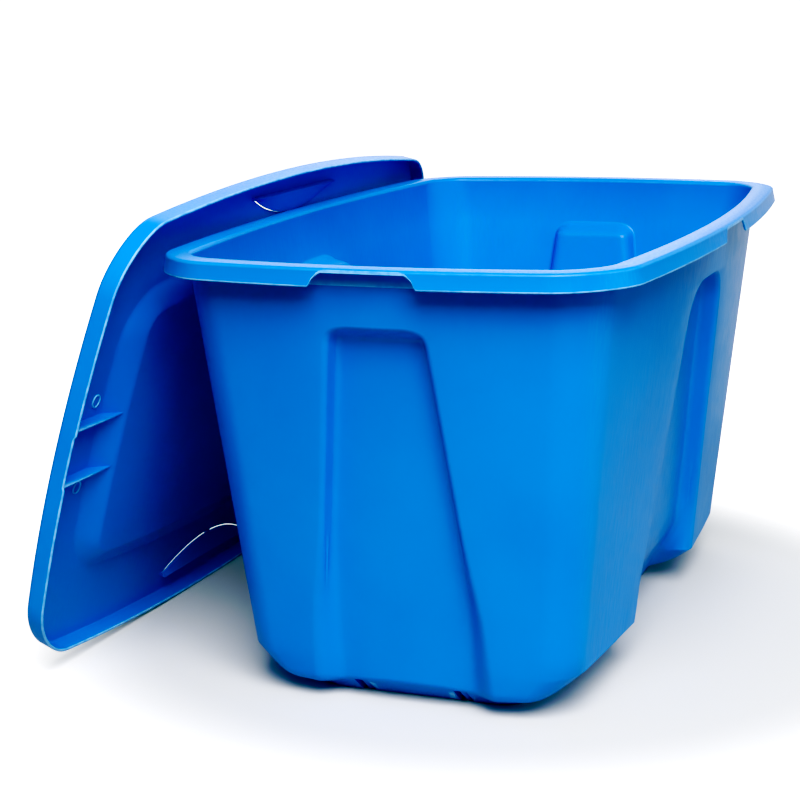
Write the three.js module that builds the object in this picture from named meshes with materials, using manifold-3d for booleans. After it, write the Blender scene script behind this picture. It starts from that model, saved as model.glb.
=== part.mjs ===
// A storage tote of injection-moulded plastic: a deep tub with a rolled rim, and a loose lid
// that leans against the tub's left side with its underside towards the tub.
// Millimetres, +Z up. The origin is on the floor under the middle of the tub. X is the width.
import * as THREE from "three";
import { mergeVertices } from "three/addons/utils/BufferGeometryUtils.js";
import Module from "manifold-3d";

const wasm = await Module();
wasm.setup();

// ---- Driving dimensions -------------------------------------------------------------------

const HEIGHT = 435; // floor to the top of the rim
const SKIN = 3; // wall thickness of the tub

// Plan outlines are rounded rectangles whose sides bow outwards.
// halfX and halfY are half sizes at the corners, and bowX and bowY what the bow adds mid-side.
const RIM = { halfX: 223, halfY: 376, bowX: 26, bowY: 24, corner: 61 };
const SKIRT_DROP = 18; // height of the turned-down edge of the rim
const OVERHANG = 22.5; // from the skirt's outside to the wall's outside
const DRAFT_X = 40.5; // how far a long wall leans in from the skirt's lower edge to the floor
const DRAFT_Y = 48; // the same for an end wall
const BOW_KEPT = { x: 0.53, y: 0.6 }; // share of the bow that is left at the floor
const WALL_CORNER = { top: 42, floor: 31 };

const LOBE_BOTTOM = 11; // height of the four corner lobes above the floor
const LOBE_FILLET = { inwards: 26, up: 32 }; // rounding under the lobes
const LOBE_SIDE_FILLET = 0.5; // how much of that rounding the channel side of a lobe has
// The foot spreads upwards: spreadX and spreadY are how far for each millimetre of height.
const FOOT = { halfX: 128, halfY: 271.5, spreadX: 0.8, spreadY: 1.29, corner: 45 };
const FOOT_EDGE = 1.5; // small rounding where the foot meets the floor
const FOOT_TOP = LOBE_BOTTOM - 1.5; // the foot's own height, just below the lobes

// A channel runs down the middle of each wall from an arch under the rim to the foot.
const ARCH_TOP = 379;
const ARCH_ROOF = 15; // height over which the channel reaches its full depth
const CHANNEL_DRAFT = 1.5;
const CHANNELS = {
  side: { depth: 20, halfTop: 66, flare: 0.2, archCorner: 22 },
  end: { depth: 18, halfTop: 47, flare: 0.123, archCorner: 17 },
};
const FLARE_FROM = 350; // the channel's sides spread from this height down
const RIDGE = { radius: 5, softBelow: 185, growth: 0.1 }; // rounding where wall and channel meet
const CHANNEL_FILLET = 6;

const LEDGE = { height: 417, depth: 1.2 }; // small step on the wall under the rim
const RIM_PLATE = 3; // thickness of the rim's top and skirt
const SKIRT_LEAN = 2.5; // how far the skirt spreads towards its lower edge
const RIM_ROUND = 4; // outer and inner rounding of the rim
const RIM_CROWN = 0.8; // how far the rim's top is domed
const RIM_THROAT = 4; // rounding where the wall meets the rim's underside
const NOTCH = { half: 52, halfTop: 37, rise: 13.5 }; // hand-hold cut into the skirt on each side

// A pocket with a rib in it, sunk into each end of the foot on both sides of the middle.
const POCKET = { at: 50.5, width: 13, depth: 5, top: 20, rib: 5 };

const LID = { halfX: 224.5, halfY: 377.5, bowX: 26, bowY: 24, corner: 62 };
const LID_SKIN = 2.8;
const LID_DROP = 20.3; // height of the lid's skirt
const LID_ROUND = 4.3; // rounding between the lid's top and its skirt
const LID_LEAN = 1; // how far the lid's skirt spreads towards its free edge
const PANEL_SUNK = 12; // depth of the panel that a stacked tote stands in
const PANEL_TOP = { halfX: 147, halfY: 322, bowX: 26, bowY: 9, corner: 48 };
const PANEL_FLOOR = { halfX: 131, halfY: 294, bowX: 16, bowY: 6, corner: 22 };
const PULL = { half: 25, ease: 4, rise: 1.5 }; // relief in the skirt's free edge at each end

// A finger scoop in each long border: a lens-shaped hole over a sloping dish, which leaves a
// slot along the lens's curved edge and is held there by a rib.
const SCOOP = { half: 100, outer: 223, inner: 198, deep: 9.5, lip: 3.2, slot: 4.6, skin: 2.2, rib: 8 };
// Thin upright webs between the sunk panel and the lid's skirt at each end.
const WEB = { at: 29, thickness: 2, panelEnd: 300, panelDepth: 14.6, skirtEnd: 397.5, skirtDepth: 18.6 };
const RING = { along: -344, at: 46, outer: 7.2, inner: 5.4, height: 1.2 }; // raised rings

// How the lid leans.
const LEAN = THREE.MathUtils.degToRad(17.46); // from upright
const LID_YAW = THREE.MathUtils.degToRad(-1.06);
const LID_CONTACT = { x: -367.3, y: 3.5 }; // where the lid's lower edge touches the floor

const BLUE = 0x0a6bd6;

// Number of steps in the round stretches of an outline.
const CORNER_STEPS = 5;
const LOBE_STEPS = 2;
const SCOOP_STEPS = 12;
const RING_SIDES = 24;

const OVERLAP = 1; // how far a piece that is joined on reaches into its neighbour

// ---- Small helpers ------------------------------------------------------------------------

const mix = (a, b, t) => a + (b - a) * t;
const clamp01 = (t) => Math.min(1, Math.max(0, t));
const smooth = (t) => clamp01(t) ** 2 * (3 - 2 * clamp01(t));
const radians = (...angles) => angles.map(THREE.MathUtils.degToRad);
const flat = (z) => () => z;

// ---- Outlines and rings -------------------------------------------------------------------

const SMALLEST_CORNER = 4;

// A plan outline moved inwards by a distance.
function inset(plan, distance) {
  return {
    ...plan,
    halfX: plan.halfX - distance,
    halfY: plan.halfY - distance,
    corner: Math.max(plan.corner - distance, SMALLEST_CORNER),
  };
}

// Moves a point of the rounded rectangle outwards by the plan's bow.
function bowed(plan, x, y) {
  const shareX = Math.abs(x) / plan.halfX;
  const shareY = Math.abs(y) / plan.halfY;
  return [
    x + Math.sign(x) * plan.bowX * shareX ** 4 * (1 - shareY ** 2),
    y + Math.sign(y) * plan.bowY * shareY ** 4 * (1 - shareX ** 2),
  ];
}

// One closed ring of points round a plan outline, counter-clockwise from above.
// section(kind, wall, straight) lists the stations across the middle of a side, left to right:
// t is the place along the side and a the distance of the surface from the middle plane.
// height(kind, t) is the ring's height there.
function ring(plan, section, height) {
  const points = [];
  for (let quarter = 0; quarter < 4; quarter++) {
    const kind = quarter % 2 === 0 ? "side" : "end";
    const [across, along] = kind === "side" ? [plan.halfX, plan.halfY] : [plan.halfY, plan.halfX];
    const straight = along - plan.corner;
    const toPlan = (a, t) => [[a, t], [-t, a], [-a, -t], [t, -a]][quarter];
    const bow = (a, t) => (kind === "side" ? bowed(plan, a, t) : bowed(plan, t, a).reverse());
    const put = (a, t) => points.push([...toPlan(a, t), height(kind, t)]);
    for (let i = 0; i <= CORNER_STEPS; i++) {
      const angle = ((i / CORNER_STEPS - 1) * Math.PI) / 2;
      const a = across - plan.corner * (1 - Math.cos(angle));
      put(...bow(a, -straight + plan.corner * Math.sin(angle)));
    }
    const stations = section(kind, (t) => bow(across, t)[0], straight);
    const lobe = (from, to) => {
      for (let i = 1; i < LOBE_STEPS; i++) put(...bow(across, mix(from, to, i / LOBE_STEPS)));
    };
    lobe(-straight, stations[0].t);
    stations.forEach(({ t, a }) => put(a, t));
    lobe(stations.at(-1).t, straight);
  }
  return points;
}

// Mirrors the stations of the right half, listed outwards from the middle, onto the left half.
function mirrored(half) {
  const left = half.filter(({ t }) => t > 0).map(({ t, a }) => ({ t: -t, a }));
  return [...left.reverse(), ...half];
}

// Stations of a ring that has no channel.
const plainSection = (places) => (kind, wall) =>
  mirrored(places(kind).map((t) => ({ t, a: wall(t) })));

// ---- The channels -------------------------------------------------------------------------

const ridgeRadius = (z) => RIDGE.radius + RIDGE.growth * Math.max(0, RIDGE.softBelow - z);

// Half width of a channel at a height: flared downwards, and rounded at the arch's corners.
function channelHalf(kind, z, skin) {
  const { halfTop, flare, archCorner } = CHANNELS[kind];
  const intoCorner = clamp01((z - (ARCH_TOP + skin - archCorner)) / archCorner);
  const rounding = archCorner * (1 - Math.sqrt(1 - intoCorner ** 2));
  return halfTop + flare * (FLARE_FROM - z) - rounding + skin;
}

// Places along the side of the stations from the channel's middle to its ridge.
function channelPlaces(half, outer, inner) {
  const foot = half - CHANNEL_DRAFT - inner;
  const c = Math.SQRT1_2;
  const fillet = [foot, foot + inner * c, half - CHANNEL_DRAFT];
  const ridge = [half, half + outer * (1 - c), half + outer];
  return [0, foot / 2, ...fillet, ...ridge];
}

// The channel's cross section at a height, for a surface that lies skin inside the outer one.
// shrink is what the rounding under the lobes takes off the wall. The channel's floor keeps its
// place until it meets the spreading foot.
function channelSection(z, skin, shrink) {
  return (kind, wall) => {
    const half = channelHalf(kind, z, skin) + shrink * LOBE_SIDE_FILLET;
    const outer = ridgeRadius(z) - skin + 1;
    const inner = CHANNEL_FILLET + skin;
    const share = smooth((ARCH_TOP + skin - z) / ARCH_ROOF);
    const foot = footPlan(z, skin)[kind === "side" ? "halfX" : "halfY"];
    const floor = (t) => Math.min(wall(t) + shrink - CHANNELS[kind].depth * share, foot);
    const places = channelPlaces(half, outer, inner);
    const depth = Math.max(wall(half) - floor(half), 0);
    const fit = Math.min(1, depth / (outer + inner));
    const c = Math.SQRT1_2;
    const fillet = [0, inner * fit * (1 - c), inner * fit];
    const ridge = [depth - outer * fit, depth - outer * fit * (1 - c), depth];
    const rise = [0, 0, ...fillet, ...ridge];
    return mirrored(places.map((t, i) => ({ t, a: floor(t) + rise[i] })));
  };
}

// ---- The tub's rings ----------------------------------------------------------------------

const SKIRT_EDGE = HEIGHT - SKIRT_DROP;

// The wall's plan at a height.
function wallPlan(z) {
  const down = (SKIRT_EDGE - z) / SKIRT_EDGE;
  return {
    halfX: RIM.halfX - OVERHANG - DRAFT_X * down,
    halfY: RIM.halfY - OVERHANG - DRAFT_Y * down,
    bowX: RIM.bowX * mix(1, BOW_KEPT.x, down),
    bowY: RIM.bowY * mix(1, BOW_KEPT.y, down),
    corner: mix(WALL_CORNER.top, WALL_CORNER.floor, down),
  };
}

// A ring of the wall. shrink is what the rounding under the lobes takes off.
function wallRing(z, skin, shrink = 0) {
  const plan = inset(wallPlan(z), skin + shrink);
  return ring(plan, channelSection(z, skin, shrink), flat(z));
}

// The rings of the wall from the lobes' bottom to the top of the arch.
function wallRings(skin) {
  const inwards = LOBE_FILLET.inwards - skin;
  const up = LOBE_FILLET.up - skin;
  const bottom = LOBE_BOTTOM + skin;
  const round = radians(0, 55, 90).map((a) =>
    wallRing(bottom + up * (1 - Math.cos(a)), skin, inwards * (1 - Math.sin(a))));
  const middle = bottom + 2 * up;
  const arch = [1, 0.5, 0].map((share) => ARCH_TOP + skin - ARCH_ROOF * share);
  return [...round, ...[middle, RIDGE.softBelow, FLARE_FROM, ...arch].map((z) => wallRing(z, skin))];
}

// The foot's plan at a height, for a surface that lies skin inside the outer one.
function footPlan(z, skin) {
  const { halfX, halfY, spreadX, spreadY, corner } = FOOT;
  const half = (atFloor, spread) => atFloor + spread * z - skin * Math.hypot(1, spread);
  return { halfX: half(halfX, spreadX), halfY: half(halfY, spreadY), bowX: 0, bowY: 0, corner };
}

const FOOT_STRETCH = 0.85; // share of the foot's straight side that the channel's stations take

// A ring of the foot, with the channel's stations drawn together to fit its straight sides.
function footRing(plan, z) {
  const section = (kind, wall, straight) => {
    const half = channelHalf(kind, LOBE_BOTTOM, 0);
    const places = channelPlaces(half, ridgeRadius(LOBE_BOTTOM), CHANNEL_FILLET);
    const scale = (FOOT_STRETCH * straight) / places.at(-1);
    return mirrored(places.map((t) => ({ t: t * scale, a: wall(t * scale) })));
  };
  return ring(plan, section, flat(z));
}

const footRings = (skin) => [
  footRing(inset(footPlan(skin, skin), FOOT_EDGE), skin),
  footRing(footPlan(skin + FOOT_EDGE, skin), skin + FOOT_EDGE),
  footRing(footPlan(skin + FOOT_TOP, skin), skin + FOOT_TOP),
];

// Places of the stations on the rim, which follow the hand-hold's edges.
function rimPlaces() {
  const { half, halfTop } = NOTCH;
  const edge = [0, 0.2, 0.4, 0.6, 0.8, 1].map((share) => mix(halfTop, half, share));
  return [0, halfTop / 2, ...edge];
}

// Height of the skirt's lower edge, raised over the hand-hold.
function skirtEdge(kind, t) {
  const { half, halfTop, rise } = NOTCH;
  return SKIRT_EDGE + rise * smooth((half - Math.abs(t)) / (half - halfTop));
}

// The rolled rim, from the wall's outside under it, over its top, to the wall's inside.
function rimRings() {
  const at = (distance, height) => ring(inset(RIM, distance), plainSection(rimPlaces), height);
  const wall = (z, skin) => ring(inset(wallPlan(z), skin), plainSection(rimPlaces), flat(z));
  const under = HEIGHT - RIM_PLATE;
  const shoulder = SKIRT_LEAN + RIM_ROUND;
  const innerEdge = RIM.halfX - wallPlan(LEDGE.height).halfX + SKIN;
  const roundStart = HEIGHT - RIM_ROUND;
  const outerRound = radians(0, 45, 90).map((a) =>
    at(SKIRT_LEAN + RIM_ROUND * (1 - Math.cos(a)),
      flat(roundStart + (RIM_ROUND - RIM_CROWN) * Math.sin(a))));
  const innerRound = radians(0, 45).map((a) =>
    at(innerEdge - RIM_ROUND * (1 - Math.sin(a)), flat(HEIGHT - RIM_ROUND * (1 - Math.cos(a)))));
  return [
    wall(LEDGE.height - LEDGE.depth, 0),
    wall(LEDGE.height, -LEDGE.depth),
    wall(under - RIM_THROAT, -LEDGE.depth),
    at(OVERHANG - LEDGE.depth - RIM_THROAT, flat(under)),
    at(shoulder, flat(under)),
    at(RIM_PLATE, skirtEdge),
    at(0, skirtEdge),
    ...outerRound,
    at((shoulder + innerEdge) / 2, flat(HEIGHT)),
    ...innerRound,
    wall(roundStart - RIM_CROWN, SKIN),
  ];
}

// ---- Building closed bodies ---------------------------------------------------------------

function geometryOf(positions, index) {
  const geometry = new THREE.BufferGeometry();
  geometry.setAttribute("position", new THREE.BufferAttribute(positions, 3));
  geometry.setIndex(index);
  return geometry;
}

// The mean of a ring's points.
function middleOf(points) {
  const sum = points.reduce(([x, y, z], p) => [x + p[0], y + p[1], z + p[2]], [0, 0, 0]);
  return sum.map((value) => value / points.length);
}

// Joins rings into one closed body, with a fan over the first and the last.
function loft(rings) {
  const count = rings[0].length;
  const vertices = [...rings.flat(), middleOf(rings[0]), middleOf(rings.at(-1))];
  const index = [];
  const last = (rings.length - 1) * count;
  for (let i = 0; i < count; i++) {
    const next = (i + 1) % count;
    for (let r = 0; r < rings.length - 1; r++) {
      const a = r * count;
      const b = a + count;
      index.push(a + i, a + next, b + next, a + i, b + next, b + i);
    }
    index.push(vertices.length - 2, next, i);
    index.push(vertices.length - 1, last + i, last + next);
  }
  return geometryOf(new Float32Array(vertices.flat()), index);
}

function solidOf(geometry) {
  const bare = geometry.clone();
  bare.deleteAttribute("normal");
  bare.deleteAttribute("uv");
  const merged = mergeVertices(bare, 1e-4);
  return new wasm.Manifold(new wasm.Mesh({
    numProp: 3,
    vertProperties: merged.attributes.position.array,
    triVerts: new Uint32Array(merged.index.array),
  }));
}

function geometryFrom(solid) {
  const mesh = solid.getMesh();
  return geometryOf(new Float32Array(mesh.vertProperties), [...mesh.triVerts]);
}

function extruded(outline, depth) {
  const shape = new THREE.Shape(outline.map(([x, y]) => new THREE.Vector2(x, y)));
  return new THREE.ExtrudeGeometry(shape, { depth, bevelEnabled: false });
}

// A slab across X: an outline of [y, z] points, width thick, centred on x = at.
function slab(outline, at, width) {
  const axes = [[0, 1, 0], [0, 0, 1], [1, 0, 0]].map((axis) => new THREE.Vector3(...axis));
  return extruded(outline, width)
    .translate(0, 0, at - width / 2)
    .applyMatrix4(new THREE.Matrix4().makeBasis(...axes));
}

// ---- The tub ------------------------------------------------------------------------------

// An outline in the [y, z] plane between two depths under the foot's end face.
function underFootEnd(from, to, bottom, top) {
  const point = (depth, z) => [FOOT.halfY + FOOT.spreadY * z - depth * Math.hypot(1, FOOT.spreadY), z];
  return [point(to, bottom), point(from, bottom), point(from, top), point(to, top)];
}

// The pockets at one end, sunk into a backing so that the wall stays closed behind them.
function withPockets(tub) {
  const { at, width, depth, top, rib } = POCKET;
  let made = tub;
  for (const place of [-at, at]) {
    const backing = underFootEnd(SKIN - OVERLAP, SKIN + depth, OVERLAP, top + SKIN);
    const pocket = underFootEnd(-OVERLAP * 2, depth, -OVERLAP, top);
    const ribbing = underFootEnd(OVERLAP, depth + OVERLAP, OVERLAP, top + OVERLAP);
    made = made
      .add(solidOf(slab(backing, place, width + 2 * SKIN)))
      .subtract(solidOf(slab(pocket, place, width)))
      .add(solidOf(slab(ribbing, place, rib)));
  }
  return made;
}

function tubGeometry() {
  const outside = [...footRings(0), ...wallRings(0)];
  const inside = [...footRings(SKIN), ...wallRings(SKIN)];
  const shell = loft([...outside, ...rimRings(), ...inside.reverse()]);
  const turned = (solid) => solidOf(geometryFrom(solid).rotateZ(Math.PI));
  return geometryFrom(turned(withPockets(turned(withPockets(solidOf(shell))))));
}

// ---- The lid ------------------------------------------------------------------------------

const lidPlaces = (kind) =>
  kind === "end" ? [0, PULL.half, PULL.half + PULL.ease, 2 * PULL.half + PULL.ease] : [0, 80, 160, 240];

// The lid's plain moulding, lying flat with its top at z = 0.
function lidShell() {
  const at = (plan, height) => ring(plan, plainSection(lidPlaces), height);
  const pulled = (t) => PULL.rise * smooth((PULL.half + PULL.ease - Math.abs(t)) / PULL.ease);
  const edge = (kind, t) => -LID_DROP + (kind === "end" ? pulled(t) : 0);
  const innerRound = LID_ROUND - LID_SKIN;
  return loft([
    at(PANEL_FLOOR, flat(-PANEL_SUNK - LID_SKIN)),
    at(PANEL_TOP, flat(-LID_SKIN)),
    ...radians(90, 0).map((a) =>
      at(inset(LID, LID_LEAN + LID_ROUND - innerRound * Math.cos(a)),
        flat(-LID_ROUND + innerRound * Math.sin(a)))),
    at(inset(LID, LID_SKIN), edge),
    at(LID, edge),
    ...radians(0, 45, 90).map((a) =>
      at(inset(LID, LID_LEAN + LID_ROUND * (1 - Math.cos(a))), flat(-LID_ROUND * (1 - Math.sin(a))))),
    at(PANEL_TOP, flat(0)),
    at(PANEL_FLOOR, flat(-PANEL_SUNK)),
  ]);
}

// Width of a scoop's lens at a place along the lid.
const lensWidth = (y) => (SCOOP.outer - SCOOP.inner) * (1 - (y / SCOOP.half) ** 2);

const scoopPlaces = (half) =>
  Array.from({ length: SCOOP_STEPS + 1 }, (_, i) => mix(-half, half, i / SCOOP_STEPS));

// The lens-shaped hole of the scoop on the +X border.
function scoopHole() {
  const curved = scoopPlaces(SCOOP.half).map((y) => [SCOOP.outer - lensWidth(y), y]);
  return extruded(curved.reverse(), LID_SKIN + 2 * OVERLAP).translate(0, 0, -LID_SKIN - OVERLAP);
}

// The dish under the hole: an outer wall and a floor that slopes up towards the curved edge.
function scoopDish() {
  const { half, outer, deep, lip, slot, skin } = SCOOP;
  const narrowest = slot + 2 * skin;
  const span = half * Math.sqrt(1 - narrowest / lensWidth(0));
  return loft(scoopPlaces(span).map((y) => {
    const edge = outer - lensWidth(y) + slot;
    const wallIn = outer + OVERLAP - skin;
    return [
      [outer + OVERLAP, y, -OVERLAP],
      [outer + OVERLAP, y, -deep],
      [edge, y, -lip - skin],
      [edge, y, -lip],
      [wallIn, y, -deep + skin],
      [wallIn, y, -OVERLAP],
    ];
  }));
}

// The rib that holds the dish's free edge to the border.
function scoopRib() {
  const { inner, lip, slot, skin, rib } = SCOOP;
  const bottom = -lip - skin + OVERLAP / 2;
  const outline = [
    [inner - OVERLAP, bottom],
    [inner + slot + OVERLAP, bottom],
    [inner + slot + OVERLAP, -OVERLAP],
    [inner - OVERLAP, -OVERLAP],
  ];
  return extruded(outline, rib).translate(0, 0, -rib / 2).rotateX(Math.PI / 2);
}

function webAt(x) {
  const { thickness, panelEnd, panelDepth, skirtEnd, skirtDepth } = WEB;
  const outline = [
    [panelEnd, -panelDepth],
    [skirtEnd, -skirtDepth],
    [skirtEnd, -OVERLAP],
    [PANEL_TOP.halfY, -OVERLAP],
  ];
  return slab(outline, x, thickness);
}

function raisedRing(x, y) {
  const { outer, inner, height } = RING;
  const top = -LID_SKIN + OVERLAP;
  const bottom = -LID_SKIN - height;
  const profile = [[inner, bottom], [outer, bottom], [outer, top], [inner, top], [inner, bottom]];
  const points = profile.map(([r, z]) => new THREE.Vector2(r, z));
  return new THREE.LatheGeometry(points, RING_SIDES).rotateX(Math.PI / 2).translate(x, y, 0);
}

function lidGeometry() {
  let lid = solidOf(lidShell());
  for (const turn of [0, Math.PI]) {
    lid = lid.subtract(solidOf(scoopHole().rotateZ(turn)));
    lid = lid.add(solidOf(scoopDish().rotateZ(turn)));
    lid = lid.add(solidOf(scoopRib().rotateZ(turn)));
    for (const x of [-WEB.at, WEB.at]) lid = lid.add(solidOf(webAt(x).rotateZ(turn)));
  }
  for (const x of [-RING.at, RING.at]) lid = lid.add(solidOf(raisedRing(x, RING.along)));
  return geometryFrom(lid);
}

// ---- The scene graph ----------------------------------------------------------------------

function moulding(name, geometry) {
  const material = new THREE.MeshStandardMaterial({ color: BLUE, roughness: 0.38, metalness: 0 });
  const mesh = new THREE.Mesh(geometry, material);
  mesh.name = name;
  return mesh;
}

// The lid is drawn lying flat, then stood on its lower long edge.
function leaningLid() {
  const lid = moulding("lid", lidGeometry());
  lid.position.set(LID.halfX + LID.bowX, 0, LID_DROP);
  const tilted = new THREE.Group();
  tilted.rotation.y = LEAN - Math.PI / 2;
  tilted.add(lid);
  const standing = new THREE.Group();
  standing.position.set(LID_CONTACT.x, LID_CONTACT.y, 0);
  standing.rotation.z = LID_YAW;
  standing.add(tilted);
  return standing;
}

const tote = new THREE.Group();
tote.add(moulding("tub", tubGeometry()));
tote.add(leaningLid());

export default tote;
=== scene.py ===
"""A storage tote of moulded blue plastic: a deep tub, and a loose lid leaning on its left side.

The two mouldings are lofted from closed rings of points, worked out in millimetres in the
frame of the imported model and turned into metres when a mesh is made.
"""

import math
from typing import NamedTuple

import bpy
import numpy as np
from mathutils import Matrix, Vector


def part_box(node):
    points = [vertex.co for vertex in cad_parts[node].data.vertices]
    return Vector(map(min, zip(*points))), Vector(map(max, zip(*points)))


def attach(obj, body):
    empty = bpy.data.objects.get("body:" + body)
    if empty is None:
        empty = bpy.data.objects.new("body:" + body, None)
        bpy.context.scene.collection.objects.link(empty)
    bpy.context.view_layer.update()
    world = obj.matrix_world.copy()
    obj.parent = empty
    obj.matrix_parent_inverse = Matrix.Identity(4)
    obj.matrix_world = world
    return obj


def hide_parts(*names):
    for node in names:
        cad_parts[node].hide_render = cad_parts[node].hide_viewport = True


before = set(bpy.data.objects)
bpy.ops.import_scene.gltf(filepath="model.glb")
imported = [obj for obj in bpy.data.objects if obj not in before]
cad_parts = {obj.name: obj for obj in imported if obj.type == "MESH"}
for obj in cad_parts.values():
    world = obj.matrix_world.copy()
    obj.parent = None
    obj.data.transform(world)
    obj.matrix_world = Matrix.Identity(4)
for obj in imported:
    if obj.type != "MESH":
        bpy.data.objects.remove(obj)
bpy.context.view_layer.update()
MM = 0.001

# ---- Sizes of the tub, in millimetres ----------------------------------------------------------

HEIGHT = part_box("tub")[1].z / MM  # floor to the top of the rim
SKIN = 3.0
LEAST_CORNER = 4.0


class Plan(NamedTuple):
    """A rounded rectangle whose sides bow outwards by bow_x and bow_y at their middles."""

    half_x: float
    half_y: float
    bow_x: float
    bow_y: float
    corner: float

    def inset(self, distance):
        corner = max(self.corner - distance, LEAST_CORNER)
        return self._replace(half_x=self.half_x - distance, half_y=self.half_y - distance, corner=corner)

    def mixed(self, other, share):
        return Plan(*(mix(a, b, share) for a, b in zip(self, other)))

    def bowed(self, x, y):
        share_x = abs(x) / self.half_x
        share_y = abs(y) / self.half_y
        out_x = self.bow_x * share_x**4 * (1 - share_y**2)
        out_y = self.bow_y * share_y**4 * (1 - share_x**2)
        return x + math.copysign(out_x, x), y + math.copysign(out_y, y)


class Channel(NamedTuple):
    """The hollow that runs down the middle of a wall, from an arch under the rim to the foot."""

    depth: float
    half_top: float
    flare: float
    arch_corner: float
    arch_drop: float


RIM = Plan(half_x=223, half_y=376, bow_x=26, bow_y=24, corner=61)
SKIRT_DROP = 18.0
OVERHANG = 22.5
DRAFT_X = 40.5
DRAFT_Y = 48.0
BOW_KEPT_X = 0.53
BOW_KEPT_Y = 0.6
WALL_CORNER_TOP = 42.0
WALL_CORNER_FLOOR = 31.0

# The lobes are what stands out between the channels. Under each kind of wall they turn in by
# LOBE_BEVEL over a height of LOBE_UP.
LOBE_BOTTOM = 16.0
LOBE_BEVEL = {"side": 36.0, "end": 8.0}
LOBE_UP = {"side": 29.0, "end": 9.0}
LOBE_STRAIGHT = {"side": 0.8, "end": 0.1}  # how much of that turn is a flat bevel, not a rounding
LOBE_CORNER = 15.0
LOBE_FLANK = 0.85  # how far the lobes turn in towards a side channel, against LOBE_BEVEL
FOOT = Plan(half_x=114, half_y=276.5, bow_x=0, bow_y=0, corner=40)
FOOT_SPREAD = {"side": 0.6, "end": 1.27}  # how much wider the foot gets for each millimetre up
FOOT_EDGE = 1.5
FOOT_TOP = LOBE_BOTTOM - 1.0
FOOT_BLEND = 2.5  # rounding where a channel's floor turns into the foot's bevel
FOOT_STRETCH = 0.85  # share of the foot's straight sides that the stations cover

ARCH_TOP = 379.0
ARCH_ROOF = 15.0
CHANNEL_DRAFT = 1.5
CHANNELS = {
    "side": Channel(depth=20, half_top=68, flare=0.2, arch_corner=46, arch_drop=36),
    "end": Channel(depth=18, half_top=47, flare=0.115, arch_corner=18, arch_drop=18),
}
FLARE_FROM = 350.0  # the channels widen from here down to FLARE_TO, and then by FLARE_BELOW
FLARE_TO = 95.0
FLARE_BELOW = 0.03
RIDGE_RADIUS = 6.0
RIDGE_MORE = 1.0  # added to that radius, on the wall's outside and inside alike
RIDGE_SOFT_BELOW = 185.0
RIDGE_GROWTH = 0.04
CHANNEL_FILLET = 8.0
FIT_EASED = 0.85  # where less of its fillets than this fits, a channel's flank is one soft curve

LEDGE_HEIGHT = 417.0
LEDGE_DEPTH = 1.2
RIM_PLATE = 3.0
RIM_UNDER = 1.0  # rounding under the rim, inside its skirt
SKIRT_LEAN = 2.5
RIM_ROUND = 4.0
RIM_CROWN = 0.8
RIM_THROAT = 4.0
EDGE_ROUND = 1.3
EDGE_BESIDE = 1.0  # from a rounded edge to the ring of points that keeps it narrow
NOTCH_HALF = 52.0
NOTCH_HALF_TOP = 34.0
NOTCH_RISE = 13.5
NOTCH_EASE = 0.3  # share of its slope over which a hand-hold's edge starts to rise

POCKET_AT = 50.5
POCKET_WIDTH = 14.0
POCKET_DEPTH = 7.0
POCKET_TOP = 19.0
POCKET_RIB_FOOT = 2.2  # radius of the rib in the pocket, at the floor and at its top
POCKET_RIB_TOP = 5.4
POCKET_RIB_SUNK = 0.4

# ---- Sizes of the lid, in millimetres ----------------------------------------------------------

LID = Plan(half_x=224.5, half_y=377.5, bow_x=26, bow_y=24, corner=62)
LID_SKIN = 2.8
LID_DROP = 20.3
LID_ROUND = 4.3
LID_LEAN = 1.0
PANEL_SUNK = 14.0
PANEL_TOP = Plan(half_x=147, half_y=322, bow_x=26, bow_y=9, corner=48)
PANEL_FLOOR = Plan(half_x=131, half_y=294, bow_x=16, bow_y=6, corner=22)
PANEL_SOFT = 0.1  # share of the panel's slope that is rounded at either end
PULL_HALF = 25.0
PULL_EASE = 4.0
PULL_RISE = 1.5
LID_REACH = {"side": 250.0, "end": 96.0}
LID_MIDDLE = [0.0, 12.0, 20.0]  # places along a side, from its middle to its pull

# A finger scoop in each long border: a lens-shaped hole over a sloping dish.
SCOOP_HALF = 100.0
SCOOP_OUTER = 223.0
SCOOP_INNER = 198.0
SCOOP_DEEP = 9.5
SCOOP_LIP = 3.0
SCOOP_SLOT = 0.9
SCOOP_SKIN = 2.2
SCOOP_RIB = 8.0
SCOOP_CLEAR = 6.0  # no painted edge highlights this far around a scoop

WEB_AT = 29.0
WEB_THICK = 2.0
WEB_PANEL_END = 300.0
WEB_PANEL_DEPTH = 14.6
WEB_SKIRT_END = 397.5
WEB_SKIRT_DEPTH = 14.8
WEB_ROUND = 0.7

RING_ALONG = -344.0
RING_AT = 46.0
RING_OUTER = 7.2
RING_INNER = 5.4
RING_HEIGHT = 1.2

LEAN = math.radians(17.46)
LID_YAW = math.radians(-1.06)
LID_CONTACT = (-367.3, 3.5)

# ---- The plastic -------------------------------------------------------------------------------

BLUE_DEEP = (0.0, 0.142, 0.58)
BLUE_CLEAR = (0.0, 0.158, 0.62)
# Painted sheen: a paler blue laid in upright streaks, mostly on the long sides' outside, where grazing
# light reflects.
BLUE_PAINTED_SHEEN = (0.09, 0.3, 0.72)
# Painted highlight: a paler blue along sharp convex edges, where light glints on their small roundings.
BLUE_EDGE_HIGHLIGHT = (0.3, 0.55, 0.9)

# Each noise: how it is squeezed along X, Y and Z, its scale in spots per metre, and its detail.
CLOUDS = ((1, 1, 1), 7.0, 3.0)
STREAKS = ((420.0, 420.0, 9.0), 1.0, 4.0)
BLOTCHES = ((1, 1, 1), 90.0, 4.0)
GRAIN = ((1, 1, 1), 1400.0, 2.0)

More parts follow.
